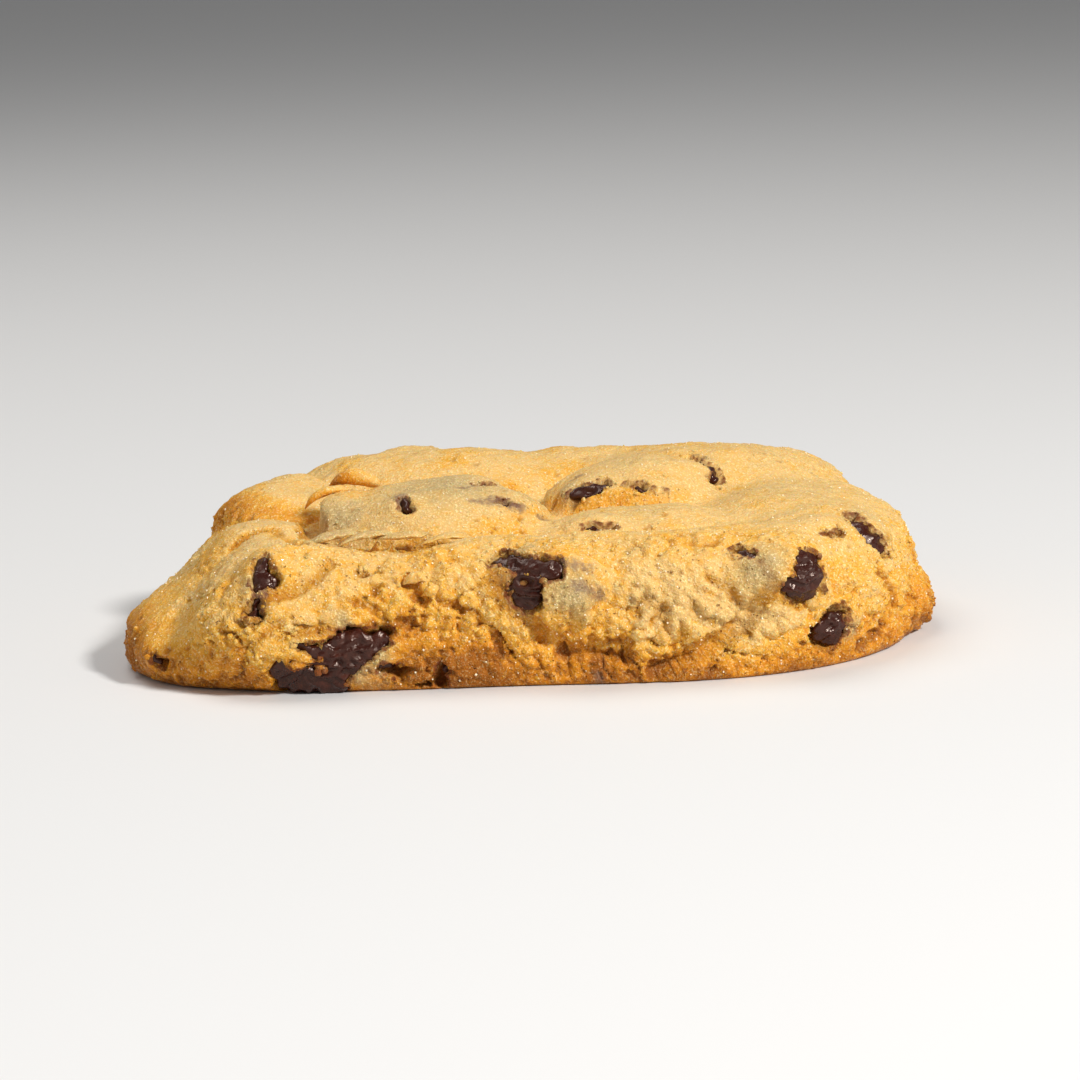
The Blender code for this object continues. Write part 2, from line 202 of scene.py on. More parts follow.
def way_distance(points, way):
    nearest = np.full(len(points), np.inf)
    for start, end in zip(way, way[1:]):
        start, step = np.array(start), np.subtract(end, start)
        share = np.clip((points - start) @ step / (step @ step), 0, 1)
        nearest = np.minimum(nearest, np.linalg.norm(points - start - share[:, None] * step, axis=1))
    return nearest


def outline_radius(angle):
    waves = sum(
        share * np.cos(count * angle + math.radians(phase)) for count, share, phase in OUTLINE_WAVES
    )
    return SLAB_RADIUS * (1 + waves)


def ring(angle, radius, level):
    return np.stack((radius * np.cos(angle), radius * np.sin(angle), np.full(len(angle), level)), 1)


def slab_distance(points):
    x, y, z = points.T
    over = np.hypot(x, y) - outline_radius(np.arctan2(y, x)) + EDGE_ROUNDING
    half_height = (SLAB_HEIGHT + SLAB_SUNK) / 2
    up = np.abs(z - SLAB_HEIGHT + half_height) - half_height + EDGE_ROUNDING
    outside = np.hypot(np.maximum(over, 0), np.maximum(up, 0))
    return outside + np.minimum(np.maximum(over, up), 0) - EDGE_ROUNDING


def rim_distance(points):
    angle = np.clip(np.arctan2(points[:, 1], points[:, 0]), RIM_FROM, RIM_TO)
    away = points - ring(angle, outline_radius(angle) - RIM_INSET, RIM_LEVEL)
    return np.linalg.norm(away, axis=1) - RIM_RADIUS


def piece_distance(points, middle, half_sizes, turn):
    """Distance to one piece of chocolate, worked out only for the points within reach of it."""
    away = points - np.array(middle)
    found = np.full(len(points), REACH)
    close = np.linalg.norm(away, axis=1) < max(half_sizes) + REACH
    unturn = np.array(Euler([math.radians(degrees) for degrees in turn]).to_matrix())
    found[close] = np.minimum(ellipsoid_distance(away[close] @ unturn, np.array(half_sizes)), REACH)
    return found


def chocolate_distance(points, names=tuple(CHUNKS)):
    """Distance to the nearest of the named pieces of chocolate."""
    found = np.full(len(points), REACH)
    for name in names:
        found = np.minimum(found, piece_distance(points, *CHUNKS[name]))
    return found


def dough_distance(points):
    found = joined(slab_distance(points), rim_distance(points), 2.0)
    slope = (points[:, 2] - LEFT_SLOPE[1]) * math.cos(LEFT_SLOPE_TILT)
    slope -= (points[:, 0] - LEFT_SLOPE[0]) * math.sin(LEFT_SLOPE_TILT)
    found = -joined(-found, -slope, LEFT_SLOPE_SOFTNESS)
    for middle, half_sizes, turn, softness in MOUNDS.values():
        mound = ellipsoid_distance(turned(points - np.array(middle), turn), np.array(half_sizes))
        found = joined(found, mound, softness)
    for radius, way in (*CRACKS.values(), *CREASES):
        found = -joined(-found, way_distance(points, way) - radius, 0.6)
    found = joined(found, chocolate_distance(points) - FILM, 2.6)
    return -joined(-found, points[:, 2], FOOT_ROUNDING)


def outward_normals(points):
    steps = np.eye(3) * 0.15
    slope = np.stack([dough_distance(points + step) - dough_distance(points - step) for step in steps], 1)
    return slope / np.maximum(np.linalg.norm(slope, axis=1), 1e-9)[:, None]


RAY_START = 14  # how far outside the slab's edge the rays start
RAY_STEPS = 34


def rays(u, v, w):
    """(start, direction) of the ray through each place of a block that is wrapped round the slab."""
    x, y = u * np.sqrt(1 - v * v / 2), v * np.sqrt(1 - u * u / 2)
    share, angle = np.hypot(x, y), np.arctan2(y, x)
    top_share = 0.2  # of the rolled edge, which the block's top takes in
    flat = outline_radius(angle) - EDGE_ROUNDING
    roll = math.pi * EDGE_ROUNDING
    along = share * (flat + top_share * roll)
    side = w < 1 - 1e-6
    tilt = np.maximum(along - flat, 0) / EDGE_ROUNDING
    tilt = np.where(side, math.pi * (top_share + (1 - 2 * top_share) * (1 - w) / 2), tilt)
    reach = np.where(side, flat, np.minimum(along, flat))
    outward = np.stack((np.cos(angle) * np.sin(tilt), np.sin(angle) * np.sin(tilt), np.cos(tilt)), 1)
    return ring(angle, reach, SLAB_HEIGHT / 2) + outward * (EDGE_ROUNDING + RAY_START), -outward


def settled(start, direction):
    """Where each ray first meets the dough."""
    travelled = np.zeros(len(start))
    for _ in range(RAY_STEPS):
        points = start + direction * travelled[:, None]
        travelled += np.clip(dough_distance(points), -1, 3) * 0.85
    points = start + direction * travelled[:, None]
    points[points[:, 2] < 0.02, 2] = 0
    return points


# The mesh of the crust has its finest cells along the front: a grid over the top, walls of levels below the
# grid's border, and rings of cells inwards over the underside.
ACROSS, DEEP, LEVELS = ((230, 170, 62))
UNDERSIDE_RINGS = (0.97, 0.9, 0.75, 0.5, 0.25)

u_lines = np.linspace(-1, 1, ACROSS + 1)
v_lines = np.linspace(-1, 1, DEEP + 1)
v_lines = v_lines + 0.25 * v_lines**2 - 0.25
top_u, top_v = (grid.ravel() for grid in np.meshgrid(u_lines, v_lines, indexing="ij"))
top_index = np.arange(len(top_u)).reshape(ACROSS + 1, DEEP + 1)
border = np.concatenate((top_index[:-1, 0], top_index[-1, :-1], top_index[:0:-1, -1], top_index[0, :0:-1]))
wall_w = np.repeat(1 - 2 * np.arange(1, LEVELS + 1) / LEVELS, len(border))
wall_u, wall_v = np.tile(top_u[border], LEVELS), np.tile(top_v[border], LEVELS)
block_u, block_v = np.append(top_u, wall_u), np.append(top_v, wall_v)
block_w = np.append(np.ones(len(top_u)), wall_w)
form = settled(*rays(block_u, block_v, block_w))
foot = form[-len(border) :] * (1, 1, 0)
form = np.concatenate([form] + [foot * share for share in UNDERSIDE_RINGS] + [np.zeros((1, 3))])

round_it = np.arange(len(border))
levels_and_rings = LEVELS + len(UNDERSIDE_RINGS)
rows = [border] + [len(top_u) + row * len(border) + round_it for row in range(levels_and_rings)]
top_corners = (top_index[:-1, :-1], top_index[1:, :-1], top_index[1:, 1:], top_index[:-1, 1:])
quads = [np.stack(top_corners, -1).reshape(-1, 4)]
quads += [np.stack((a, b, np.roll(b, -1), np.roll(a, -1)), -1) for a, b in zip(rows, rows[1:])]
fan = [(a, len(form) - 1, b) for a, b in zip(rows[-1], np.roll(rows[-1], -1))]
quads = np.concatenate(quads)
crust_faces = quads.tolist() + [tuple(int(n) for n in face) for face in fan]

# The crumb: the wall is rough, of grains one to three millimetres wide with crevices between them, and the
# top is smoother, with shallow dimples and pores. All of it fades out at the flat foot.


def smooth_step(low, high, values):
    share = np.clip((values - low) / (high - low), 0, 1)
    return share * share * (3 - 2 * share)


def waves_at(points, size, seed):
    """Soft noise of about that wavelength at each point, from -1 to 1."""
    shift = Vector((seed * 3.7, seed * 1.3, seed * 5.1))
    return np.array([noise.noise(Vector(point) / size + shift) for point in points])


def grains_at(points, size, seed):
    """(distance to the nearest grain's middle, a number of that grain's own from 0 to 1) at each point."""
    shift = Vector((seed * 2.9, seed * 4.3, seed * 1.7))
    found = [noise.voronoi(Vector(point) / size + shift, distance_metric="DISTANCE") for point in points]
    middles = np.array([tuple(places[0]) for _, places in found])
    own = np.modf(np.abs(np.sin(middles @ (12.99, 78.23, 37.72)) * 43758.5))[0]
    return np.array([reach[0] for reach, _ in found]), own


def lumps_at(points, size, seed):
    """Rounded lumps about that wide with sharper creases between them, mostly from 0 to 1."""
    return np.minimum((2.0 * np.abs(waves_at(points, size, seed))) ** 0.75, 1.2)


# Where the crust swells or falls a little: (middle, radius, rise in millimetres)
SWELLS = (
    ((-16.0, -32.0, 15.7), 10.0, -1.7),
    ((-14.0, 21.5, 18.9), 10.0, -0.6),
    ((24.0, 19.0, 19.0), 12.0, -0.8),
    ((-26.5, 9.0, 15.6), 8.0, 0.9),
    ((-33.0, 2.0, 17.0), 6.0, 0.4),
)
# Lumps of crumb: (height, width, seed, how far they are bent, their share on the smooth top, and the share
# that is left out where the mesh is stretched over a steep place, as they would turn to streaks there)
LUMPS = (
    (0.62, 3.6, 7, 0.8, 0.10, 0.0),
    (0.46, 2.0, 8, 0.6, 0.18, 0.6),
    (0.38, 1.15, 9, 0.3, 0.28, 1.0),
    (0.22, 0.7, 10, 0.0, 0.25, 1.0),
)
LUMP_MIDDLE = 0.45  # the level in a lump that stays on the form
GATHERED = 3.0  # lumps wider than this lie in groups

normals = outward_normals(form)
foot_fade = smooth_step(0.0, 1.6, form[:, 2])
patch = waves_at(form, 11, 1)
wall = smooth_step(0.93, 0.38, normals[:, 2] + 0.25 * patch)
wall = np.maximum(wall, 0.75 * smooth_step(-29.5, -34.5, form[:, 1] + 1.5 * patch))
swirl = np.stack([waves_at(form, 2.4, seed) for seed in (2, 3, 4)], 1)

cell = np.zeros(len(form))
for one, other in ((0, 1), (1, 2), (2, 3), (3, 0)):
    edge = np.linalg.norm(form[quads[:, one]] - form[quads[:, other]], axis=1)
    np.maximum.at(cell, quads[:, one], edge)
    np.maximum.at(cell, quads[:, other], edge)
even = smooth_step(1.5, 0.6, cell)

broad = 0.45 * waves_at(form + (56, 24, 64), 8.0, 0) + 0.32 * waves_at(form, 4.4, 5)
cluster = smooth_step(-0.15, 0.35, waves_at(form, 7.5, 6) + 0.12 * wall)
for middle, radius, rise in SWELLS:
    broad += rise * smooth_step(radius, 0.0, spot_distance(form, middle))
relief = np.zeros(len(form))
for high, width, seed, bent, on_top, left_out in LUMPS:
    rough = wall * cluster if width > GATHERED else wall
    lumps = lumps_at(form + bent * swirl, width, seed) - LUMP_MIDDLE
    relief += high * lumps * (on_top + (1 - on_top) * rough) * (1 - left_out + left_out * even)
near, own = grains_at(form + 0.4 * swirl, 1.5, 11)
relief += 0.30 * (0.5 - near) * (0.25 + 0.75 * wall) * (0.3 + own) * even
pore = smooth_step(0.36, 0.20, near) * (own > 0.86)
relief -= pore * (0.25 + 0.35 * wall)
cleft = smooth_step(0.04, 0.0, np.abs(waves_at(form + 0.9 * swirl, 6.0, 12))) * wall
cleft *= smooth_step(0.05, 0.25, waves_at(form, 9.0, 13) + 0.1)
relief -= 0.65 * cleft
relief += 0.12 * waves_at(form, 0.8, 14) * (0.25 + wall) * even
low = smooth_step(0.06, -0.42, relief)
height = broad + relief

# Where the film of dough has torn, the crust sinks below the chocolate and leaves it bare. Each tear
# follows a way along the surface: (half width, the way).
TEARS = (
    (2.9, ((-27.2, -39.8, 3.6), (-24.3, -39.9, 2.8))),
    (2.4, ((-22.8, -39.9, 3.5), (-20.2, -39.6, 5.4))),
    (2.0, ((-27.6, -38.4, 0.8), (-25.0, -38.3, 0.3), (-23.3, -38.0, 0.5))),
    (1.2, ((-18.4, -39.9, 5.7), (-17.1, -39.1, 6.6))),
    (0.75, ((-16.9, -39.3, 2.8), (-14.6, -38.2, 1.8), (-12.6, -38.2, 1.0))),
    (0.6, ((-10.5, -38.8, 2.5), (-10.6, -38.2, 1.0))),
    (1.3, ((-4.2, -35.1, 14.6), (-0.8, -38.7, 14.3), (2.4, -39.8, 13.8))),
    (1.8, ((-0.5, -40.2, 12.7), (-1.0, -40.3, 10.3))),
    (0.7, ((-2.7, -39.6, 11.3), (-1.4, -40.2, 11.4))),
    (2.1, ((31.8, -36.7, 12.8), (31.6, -36.9, 10.3))),
    (1.4, ((29.6, -37.5, 10.0), (31.6, -35.8, 8.8))),
    (0.5, ((23.1, -35.6, 14.4), (24.4, -37.1, 14.3))),
    (1.9, ((34.5, -34.6, 5.2), (34.0, -34.2, 3.6))),
    (1.2, ((31.2, -34.9, 3.2), (35.8, -33.7, 5.9))),
    (1.2, ((36.9, -23.3, 15.5), (38.6, -24.7, 14.1), (40.5, -24.9, 12.1))),
    (0.22, ((33.4, -29.4, 14.7), (35.5, -28.4, 14.5))),
    (0.95, ((-30.4, -36.5, 15.5), (-30.6, -38.0, 14.1))),
    (1.2, ((-30.6, -38.6, 13.1), (-29.5, -38.2, 13.2))),
    (0.6, ((-30.6, -39.1, 12.0), (-31.6, -40.0, 10.4))),
    (1.1, ((-31.4, -40.1, 9.3), (-33.0, -39.9, 8.3))),
    (0.8, ((-33.0, -40.1, 7.2), (-32.8, -40.1, 6.0))),
    (0.62, ((-14.7, -21.4, 19.3), (-14.0, -22.8, 18.0))),
    (0.35, ((-3.6, -19.8, 18.3), (-1.8, -19.9, 17.9))),
    (0.35, ((-6.4, -15.9, 19.5), (-3.9, -13.8, 19.1))),
    (0.95, ((5.1, -6.2, 16.7), (7.5, -6.1, 17.3), (9.0, -5.6, 17.5))),
    (0.28, ((11.8, -6.2, 17.6), (14.3, -7.5, 17.4), (16.8, -7.6, 16.6))),
    (0.6, ((19.4, 7.2, 18.5), (21.2, 2.7, 18.8))),
    (0.8, ((21.2, 2.7, 18.8), (22.6, 1.2, 18.3), (22.8, -0.5, 17.0), (22.7, -2.7, 16.3))),
    (0.2, ((6.7, -24.9, 15.9), (9.5, -24.5, 15.8))),
    (0.5, ((-43.5, -31.7, 3.6), (-42.8, -31.8, 2.9))),
)
# Scraps of film that still lie on the chocolate inside a tear
SCRAPS = (
    (1.25, ((-28.0, -40.1, 5.4), (-26.3, -40.3, 4.4))),
    (0.55, ((-24.2, -40.4, 4.0), (-23.9, -40.3, 2.6))),
    (0.40, ((-20.9, -40.3, 6.0), (-20.3, -40.2, 5.2))),
    (0.4, ((-0.9, -39.6, 13.2), (-1.6, -40.0, 12.2))),
    (0.6, ((-31.6, -39.3, 12.1), (-29.4, -38.7, 12.0))),
    (0.45, ((-32.6, -40.0, 9.6), (-30.9, -40.0, 9.2))),
)
# The pieces at the hidden back have tears of their own outline, shut by so many millimetres all round
HIDDEN = [name for name, (middle, _, _) in CHUNKS.items() if middle[1] > 10]
SHUT, SHUT_ON_TOP = 0.12, 0.5
# Where the film is still whole, but so thin that the chocolate stains it
STAINS = (
    (0.7, ((3.4, -39.2, 14.4), (6.4, -39.0, 13.3))),
    (0.8, ((5.3, -40.2, 11.8), (7.7, -39.4, 10.5))),
    (0.9, ((-30.3, -39.0, 12.2), (-31.0, -39.7, 10.6))),
    (0.9, ((-4.3, -19.9, 18.3), (-1.2, -19.9, 17.5))),
    (0.5, ((-8.4, -17.9, 19.5), (-6.4, -15.9, 19.5))),
    (0.4, ((0.9, -18.8, 16.1), (2.3, -17.8, 15.6))),
    (0.6, ((5.2, -2.0, 17.6), (6.1, -1.2, 18.1))),
    (0.5, ((-7.0, -20.9, 18.6), (-5.7, -20.4, 18.4))),
    (0.5, ((7.0, -38.7, 1.1), (7.4, -38.6, 0.4))),
    (0.9, ((-15.2, -20.0, 19.7), (-14.6, -21.4, 19.2))),
)


def ways_distance(points, ways):
    """Distance to the nearest of the ways, less than zero inside its half width."""
    found = np.full(len(points), REACH)
    for radius, way in ways:
        found = np.minimum(found, way_distance(points, way) - radius)
    return found


tear = ways_distance(form, TEARS)
for name in HIDDEN:
    shut = SHUT_ON_TOP if "top" in name else SHUT
    tear = np.minimum(tear, piece_distance(form, *CHUNKS[name]) + shut)
for radius, way in SCRAPS:
    tear = np.maximum(tear, radius - way_distance(form, way))
stain = ways_distance(form, STAINS)
ragged = 0.60 * waves_at(form, 1.9, 15) + 0.55 * waves_at(form, 0.8, 16)
under_film = chocolate_distance(form)
bare = smooth_step(0.16, -0.16, tear + ragged * np.where(tear < 3, 1, 0))
bare *= smooth_step(1.6, 1.0, under_film - 2.2 * smooth_step(1.5, 0.0, form[:, 2]))
height = np.where(under_film < 2.0, height * (0.55 + 0.45 * smooth_step(0.3, 2.0, under_film)), height)
sunk = bare * (0.8 + (0.2 + np.clip(under_film, 0, 1.8)) * smooth_step(0.0, 1.2, form[:, 2]))
sideways = normals * (1 - smooth_step(1.6, 0.4, form[:, 2])[:, None] * (0, 0, 1))
sideways /= np.maximum(np.linalg.norm(sideways, axis=1), 0.2)[:, None]
crust_points = form + normals * (height * foot_fade)[:, None] - sideways * sunk[:, None]
crust_points[:, 2] = np.maximum(crust_points[:, 2], 0)

# How far each place is browned: the thin edges and the exposed lobes most of all. It also rises towards
# the foot, partly real browning and partly painted shade on the low wall, and the two places of less
# browning on the right wall are painted light where the main lamp falls.
BROWNING_AND_LIGHT = (
    ((-36.5, 2.0, 14.0), 7.5, 0.75),
    ((4.5, 12.0, 17.6), 5.5, 0.35),
    ((-9.5, 12.0, 18.0), 3.5, 0.3),
    ((9.0, -9.5, 16.0), 4.0, 0.2),
    ((-46.0, -16.0, 3.0), 12.0, 0.5),
    ((-45.0, -25.0, 5.0), 9.0, 0.5),
    ((46.0, -10.0, 5.0), 11.0, 0.30),
    ((-33.6, -2.4, 15.3), 4.5, 0.55),
    ((-30.6, -4.8, 15.0), 4.0, 0.55),
    ((-27.5, -5.2, 14.8), 3.2, 0.5),
    ((-25.2, -5.5, 14.2), 3.0, 0.6),
    ((-28.4, -25.4, 15.8), 2.6, 0.5),
    ((-12.0, -38.6, 5.0), 8.0, 0.30),
    ((-7.0, -38.4, 2.6), 8.0, 0.26),
    ((-38.5, -21.0, 12.0), 8.0, 0.35),
    # Painted light: the right wall, lit by the main lamp, is made paler.
    ((14.0, -39.0, 9.5), 9.0, -0.42),
    ((24.0, -38.0, 7.0), 10.0, -0.48),
)
# Where the dough is greyed by chocolate deeper down, and on the dome's left and lower side also painted
# shade: (middle, radius, strength)
GREYED_AND_SHADED = (
    # Painted shade as well as grey: the dome's shaded left and lower side.
    ((-22.5, -18.0, 16.0), 7.5, 0.9),
    ((-17.0, -23.5, 16.3), 6.0, 0.55),
    ((4.6, -39.8, 11.0), 5.6, 0.95),
    ((26.2, -38.3, 12.4), 5.2, 1.0),
    ((11.5, -34.5, 15.2), 6.0, 0.5),
    ((18.0, -34.8, 15.0), 4.0, 0.3),
    ((9.0, -4.5, 18.2), 6.0, 0.35),
    ((14.0, -5.0, 18.2), 5.0, 0.3),
    ((-26.7, 1.4, 16.8), 3.5, 0.5),
    ((-17.5, -38.5, 1.8), 3.4, 0.5),
    ((-21.5, -39.6, 8.3), 3.2, 0.9),
    ((38.0, -22.0, 14.5), 5.0, 0.6),
    ((-10.0, -16.0, 19.6), 13.5, 0.85),
    ((13.0, -18.5, 16.6), 13.0, 0.45),
    ((13.0, 0.0, 19.6), 11.0, 0.45),
    ((30.0, -10.0, 16.6), 14.0, 0.45),
)

# Towards the foot: partly real browning, partly painted shade on the low wall.
browning = 0.04 + 0.22 * wall + 0.72 * smooth_step(8.0, 0.0, form[:, 2]) + 0.12 * patch
for middle, radius, strength in BROWNING_AND_LIGHT:
    browning += strength * smooth_step(radius, 0.0, spot_distance(form, middle))
browning += 0.22 * smooth_step(0.1, 0.6, waves_at(form, 5.2, 17))
browning[form[:, 2] == 0] = 0.75
over_chunk = chocolate_distance(form, [name for name in CHUNKS if name.startswith("chunk")])
film = 0.8 * smooth_step(1.1, -0.4, over_chunk + 0.6 * waves_at(form, 2.6, 18))
# Grey over the chocolate, and painted shade in the patches on the dome's left and lower side.
for middle, radius, strength in GREYED_AND_SHADED:
    away = spot_distance(form, middle) + 1.2 * waves_at(form, 3.4, 19)
    film = np.maximum(film, strength * smooth_step(1.1 * radius, 0.0, away))
smear = smooth_step(0.85, 0.1, tear + ragged) * (1 - bare) * smooth_step(1.9, 1.0, under_film)
stained = smooth_step(1.0, -0.7, stain + 0.6 * ragged)
# Cracks and creases are browned and darkened: painted shade in the cracks.
split = np.full(len(form), REACH)
for radius, way in (*CRACKS.values(), *CREASES):
    split = np.minimum(split, way_distance(form, way) / radius)
split = smooth_step(1.3, 0.9, split + 0.35 * ragged)
browning += 0.35 * split
# Painted shade: the clefts, pores, cracks and the sunk crust in the tears are darkened deep brown.
hollow = np.clip(0.8 * cleft + pore * 0.5 + bare + 0.45 * split, 0, 1)


def new_mesh(name, points, faces):
    """A smooth mesh object from points in millimetres, moved so that the cookie's middle is the origin."""
    mesh_data = bpy.data.meshes.new(name)
    mesh_data.from_pydata(((np.array(points) - (*BOX_MIDDLE, 0)) * MM).tolist(), [], faces)
    mesh_data.validate()
    mesh_data.shade_smooth()
    made = bpy.data.objects.new(name, mesh_data)
    bpy.context.scene.collection.objects.link(made)
    return made


def keep_values(made, **values):
    for name, numbers in values.items():
        layer = made.data.attributes.new(name, "FLOAT", "POINT")
        layer.data.foreach_set("value", np.asarray(numbers, np.float32))


crust = new_mesh("crust", crust_points, crust_faces)
keep_values(crust, browning=browning, film=film, smear=smear, stain=stained)
keep_values(crust, hollow=hollow, low=low, wall=wall)


# The baked dough's finish: pale gold, browner where it is thin or stands out, greyer where chocolate shows
# through the film, with a faint oily shine on top and a fine grain everywhere. Its cracks, clefts, pits and
# hollows are darkened with painted shade, the low wall partly so, the lit right wall is painted paler, and
# the pale specks are partly pale crumb and partly painted glints.
class Socket:
    """One output in a material's nodes, with arithmetic that adds Math nodes."""

    def __init__(self, nodes, output):
        self.nodes, self.output = nodes, output

    def math(self, operation, *others):
        values = dict(enumerate((self, *others)))
        return self.nodes.node("ShaderNodeMath", {"operation": operation}, values)

    def __add__(self, other):
        return self.math("ADD", other)

    def __sub__(self, other):
        return self.math("SUBTRACT", other)

    def __mul__(self, other):
        return self.math("MULTIPLY", other)

    def __rsub__(self, other):
        return self.nodes.node("ShaderNodeMath", {"operation": "SUBTRACT"}, {0: other, 1: self})

    __radd__, __rmul__ = __add__, __mul__

    def clamped(self):
        return self.nodes.node("ShaderNodeClamp", {}, {"Value": self})

    def between(self, low, high):
        """0 below low, 1 above high and a soft rise in between; falls instead if low is the greater."""
        values = {"Value": self, "From Min": low, "From Max": high}
        return self.nodes.node("ShaderNodeMapRange", {"interpolation_type": "SMOOTHSTEP"}, values)


class Nodes:
    """The nodes of one new material, added by one method."""

    def __init__(self, name):
        self.material = bpy.data.materials.new(name)
        self.material.use_nodes = True
        self.tree = self.material.node_tree
        self.shader = self.tree.nodes["Principled BSDF"]

    def set_inputs(self, node, values):
        for key, value in values.items():
            if isinstance(value, Socket):
                self.tree.links.new(value.output, node.inputs[key])
            else:
                node.inputs[key].default_value = value

    def node(self, kind, settings, values, output=0):
        made = self.tree.nodes.new(kind)
        for key, value in settings.items():
            setattr(made, key, value)
        self.set_inputs(made, values)
        return Socket(self, made.outputs[output])

    def kept(self, name):
        return self.node("ShaderNodeAttribute", {"attribute_name": name}, {}, "Fac")

    def place(self):
        return self.node("ShaderNodeTexCoord", {}, {}, "Object")

    def grain(self, size_mm, detail=2.0):
        """Noise of about that size in millimetres, mostly from 0.3 to 0.7."""
        values = {"Vector": self.place(), "Scale": 1 / (size_mm * MM), "Detail": detail}
        return self.node("ShaderNodeTexNoise", {}, values, "Fac")

    def mixed(self, share, first, second):
        """Two colours mixed by a share from 0 to 1."""
        values = {"Factor": share, 6: first, 7: second}
        return self.node("ShaderNodeMix", {"data_type": "RGBA"}, values, 2)


def colour(red, green, blue):
    """A colour read off a screen, 0 to 255, as the shader wants it."""
    return (*[((c / 255 + 0.055) / 1.055) ** 2.4 if c > 10 else c / 3294 for c in (red, green, blue)], 1)


CREAM = colour(255, 234, 176)
PALE = colour(230, 188, 116)
GOLD = colour(234, 172, 60)
TOASTED = colour(216, 139, 29)
BROWN = colour(162, 95, 24)
# The colour of the painted shade in crevices and pits
CREVICE_SHADE = colour(120, 62, 22)
GREY_FILM_AND_SHADE = colour(184, 160, 112)
MAUVE = colour(108, 46, 28)
STAIN = colour(132, 104, 88)

dough = Nodes("baked dough")
speck = dough.grain(0.26, 2)
# The low places of the crumb are browned more: painted shade in the hollows.
browned_and_shaded = dough.kept("browning") + 0.34 * dough.kept("low") + (dough.grain(3.0, 3) - 0.5) * 0.45
browned_and_shaded = browned_and_shaded + (dough.grain(0.6, 3) - 0.5) * 0.6 + (dough.grain(1.4, 2) - 0.5) * 0.7
skin = dough.mixed(browned_and_shaded.between(-0.05, 0.50), PALE, GOLD)
skin = dough.mixed(browned_and_shaded.between(0.35, 0.90), skin, TOASTED)
skin = dough.mixed(browned_and_shaded.between(0.75, 1.25), skin, BROWN)
# Grey film, on the dome's left and lower side partly painted shade.
veiled_and_shaded = (dough.kept("film") + (dough.grain(1.2, 3) - 0.5) * 0.7).between(0.15, 1.05)
skin = dough.mixed(veiled_and_shaded * 0.9, skin, GREY_FILM_AND_SHADE)
# Pale specks, fewer where browned: partly pale crumb grains, partly painted glints.
skin = dough.mixed(speck.between(0.50, 0.70) * (0.64 - 0.40 * browned_and_shaded.between(0.3, 1.1)), skin, CREAM)
# Painted shade: tiny pits on the wall and the hollows darken to deep brown.
pit = dough.grain(0.45, 1).between(0.70, 0.78) * (0.15 + 0.85 * dough.kept("wall"))
skin = dough.mixed((dough.kept("hollow") * 0.75 + pit * 0.7).clamped(), skin, CREVICE_SHADE)
smeared = (dough.kept("smear") + (dough.grain(0.7, 3) - 0.5) * 1.2).between(0.35, 1.0)
skin = dough.mixed(smeared * 0.85, skin, MAUVE)
stained = (dough.kept("stain") + (dough.grain(0.5, 3) - 0.5) * 1.2).between(0.25, 1.15)
skin = dough.mixed(stained * 0.75, skin, STAIN)
dough.set_inputs(
    dough.shader,
    {
        "Base Color": skin,
        "Roughness": 0.56 - 0.26 * dough.grain(1.6, 2).between(0.35, 0.7),
        "Specular IOR Level": 0.20,
        "Specular Tint": (1.0, 0.9, 0.7, 1),
        "Subsurface Weight": 0.3,
        "Subsurface Radius": (1.0, 0.5, 0.2),
        "Subsurface Scale": 0.0012,
        "Normal": dough.node(
            "ShaderNodeBump",
            {},
            {
                "Strength": 1.0,
                "Distance": 0.0003,
                "Height": 0.65 * speck
                + (0.3 + 0.5 * dough.kept("wall")) * dough.grain(0.6, 2)
                + 1.0 * dough.grain(1.5, 2)
                - 0.6 * pit,
            },
        ),
    },
)
crust.data.materials.append(dough.material)
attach(crust, "root")
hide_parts("dough")

# The chocolate: dark chunks and chips, melted soft and set again, so they are ridged, rounded and glossy.
# Each lies a little below the crust's film and comes up to it where the film has torn.
DARK = colour(54, 19, 11)
MILKY = colour(92, 44, 30)
CHUNK_DETAIL = {"chunk_front_low": 6, "chunk_front_middle": 6, "chunk_right_front": 6}

chocolate = Nodes("chocolate")
lighter = chocolate.grain(1.4, 3).between(0.52, 0.75)
chocolate.set_inputs(
    chocolate.shader,
    {
        "Base Color": chocolate.mixed(lighter * 0.5, DARK, MILKY),
        "Roughness": 0.18 + 0.30 * chocolate.grain(0.9, 2).between(0.4, 0.65),
        "Specular IOR Level": 0.5,
        "Specular Tint": (1.0, 0.82, 0.72, 1),
        "Normal": chocolate.node(
            "ShaderNodeBump",
            {},
            {"Strength": 0.6, "Distance": 0.0002, "Height": chocolate.grain(0.5, 3)},
        ),
    },
)


def ball(subdivisions):
    """(points, faces) of a ball of even triangles with radius 1."""
    bpy.ops.mesh.primitive_ico_sphere_add(subdivisions=subdivisions, radius=1)
    made = bpy.context.object
    points = np.array([v.co for v in made.data.vertices])
    faces = np.array([face.vertices for face in made.data.polygons])
    bpy.data.objects.remove(made)
    return points, faces


